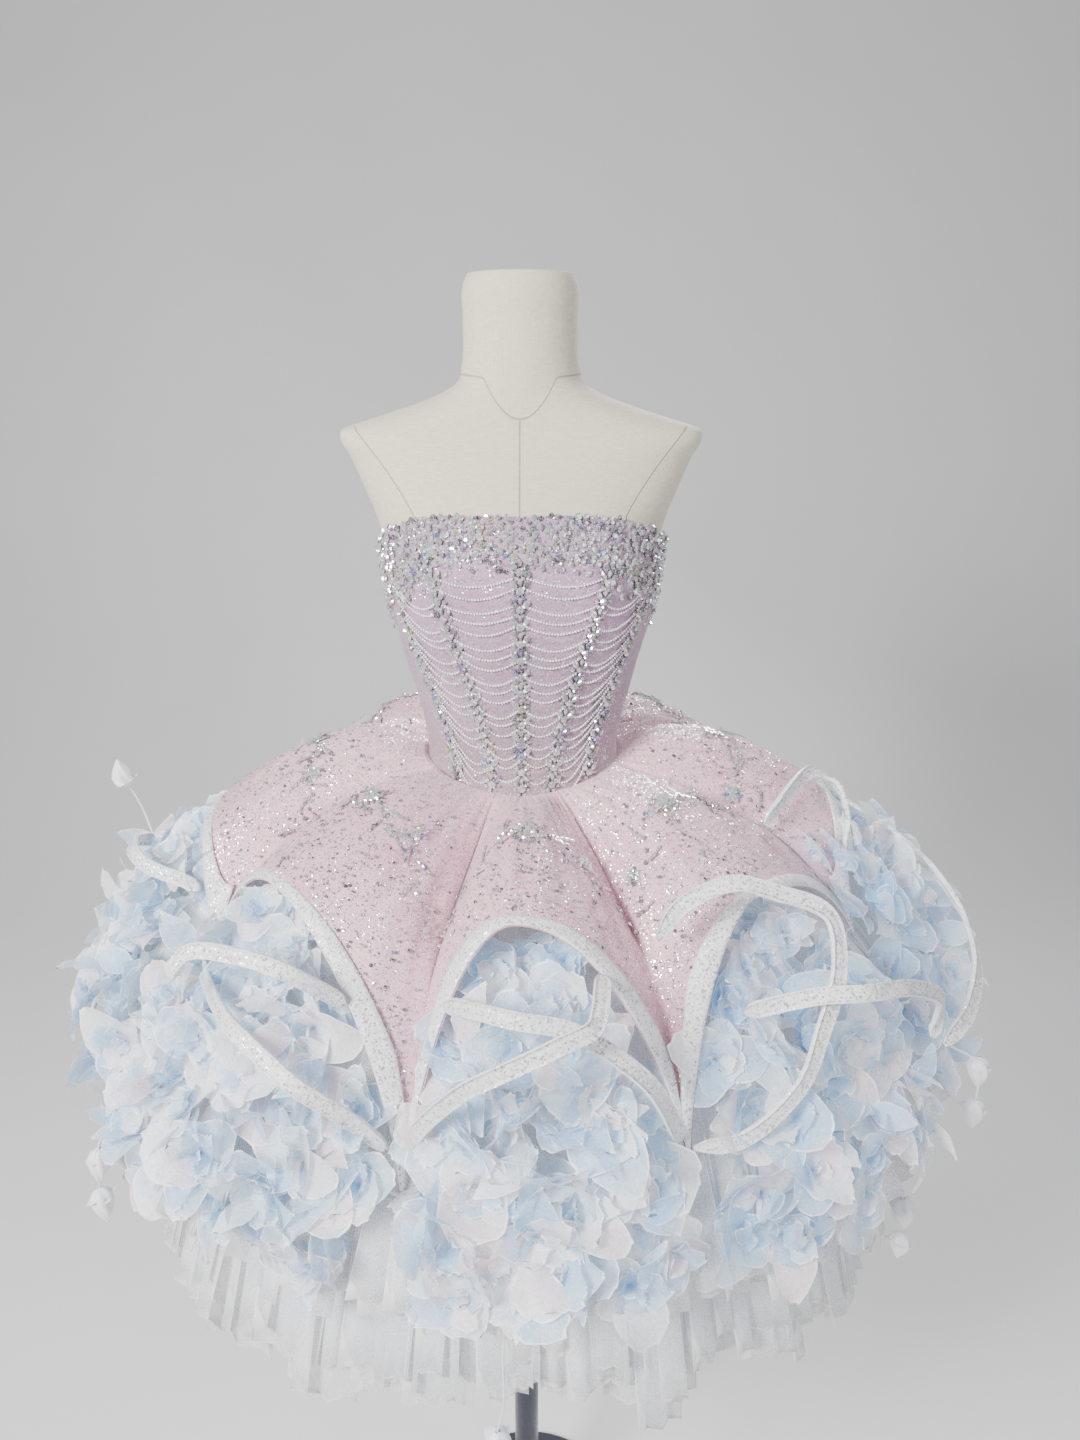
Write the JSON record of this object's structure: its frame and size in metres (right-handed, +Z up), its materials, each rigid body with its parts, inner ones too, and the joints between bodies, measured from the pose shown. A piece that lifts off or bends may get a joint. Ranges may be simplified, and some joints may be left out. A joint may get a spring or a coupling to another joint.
{
  "type": "mini prom dress on a dress form",
  "caption": "Strapless mini prom dress with a beaded corset bodice, an arched organza overskirt, net skirts and petal flowers, worn on a limbless dress form on a pole stand.",
  "frame": {"origin": "centre of the stand plate's underside, on the floor", "axes": "+Z up along the pole, -Y towards the dress's front, +X to the right as seen from the front"},
  "size_m": [1.0918, 0.9564, 1.744],
  "materials": {
    "form_linen": "cream linen stretched over the form, matt with a fine slub",
    "pole_metal": "dark blue-black satin paint",
    "bodice_cloth": "lilac-pink glitter cloth",
    "crystals": "faceted clear and silver crystals, a few violet",
    "overskirt_organza": "pale pink glitter organza",
    "horsehair_braid": "white glitter horsehair braid",
    "tulle_net": "grey-white net in pleated layers",
    "petal_organza": "pale blue, white and blush organza petals",
    "bud_silk": "white silk buds on thin covered stems",
    "zip_nylon": "lilac nylon coil zip"
  },
  "bodies": {
    "root": {"bodice_back_left": "bodice_cloth", "bodice_back_right": "bodice_cloth", "bodice_centre_front_left": "bodice_cloth", "bodice_centre_front_right": "bodice_cloth", "bodice_side_front_left": "bodice_cloth", "bodice_side_front_right": "bodice_cloth", "bodice_side_left": "bodice_cloth", "bodice_side_right": "bodice_cloth", "buds_front": "bud_silk", "buds_left_low": "bud_silk", "buds_left_top": "bud_silk", "buds_right_high": "bud_silk", "buds_right_low": "bud_silk", "crystal_band": "crystals", "crystal_line_1": "crystals", "crystal_line_2": "crystals", "crystal_line_3": "crystals", "crystal_line_4": "crystals", "crystal_line_5": "crystals", "dress_form": "form_linen", "flowers_back": "petal_organza", "flowers_front": "petal_organza", "flowers_left": "petal_organza", "flowers_left_back": "petal_organza", "flowers_left_front": "petal_organza", "flowers_right": "petal_organza", "flowers_right_back": "petal_organza", "flowers_right_front": "petal_organza", "hem_braid_back": "horsehair_braid", "hem_braid_front": "horsehair_braid", "hem_braid_left": "horsehair_braid", "hem_braid_right": "horsehair_braid", "loop_cross_falling": "horsehair_braid", "loop_cross_rising": "horsehair_braid", "loop_left_back": "horsehair_braid", "loop_left_fall": "horsehair_braid", "loop_left_over": "horsehair_braid", "loop_right_arch": "horsehair_braid", "loop_right_big": "horsehair_braid", "loop_right_over": "horsehair_braid", "loop_right_round": "horsehair_braid", "overskirt_back": "overskirt_organza", "overskirt_front": "overskirt_organza", "overskirt_left": "overskirt_organza", "overskirt_right": "overskirt_organza", "stand_base": "pole_metal", "stand_pole": "pole_metal", "tulle_flared_back": "tulle_net", "tulle_flared_front": "tulle_net", "tulle_flared_left": "tulle_net", "tulle_flared_right": "tulle_net", "tulle_long_back": "tulle_net", "tulle_long_front": "tulle_net", "tulle_long_left": "tulle_net", "tulle_long_right": "tulle_net", "zip_slider": "zip_nylon", "zip_tape": "zip_nylon"}
  },
  "joints": []
}
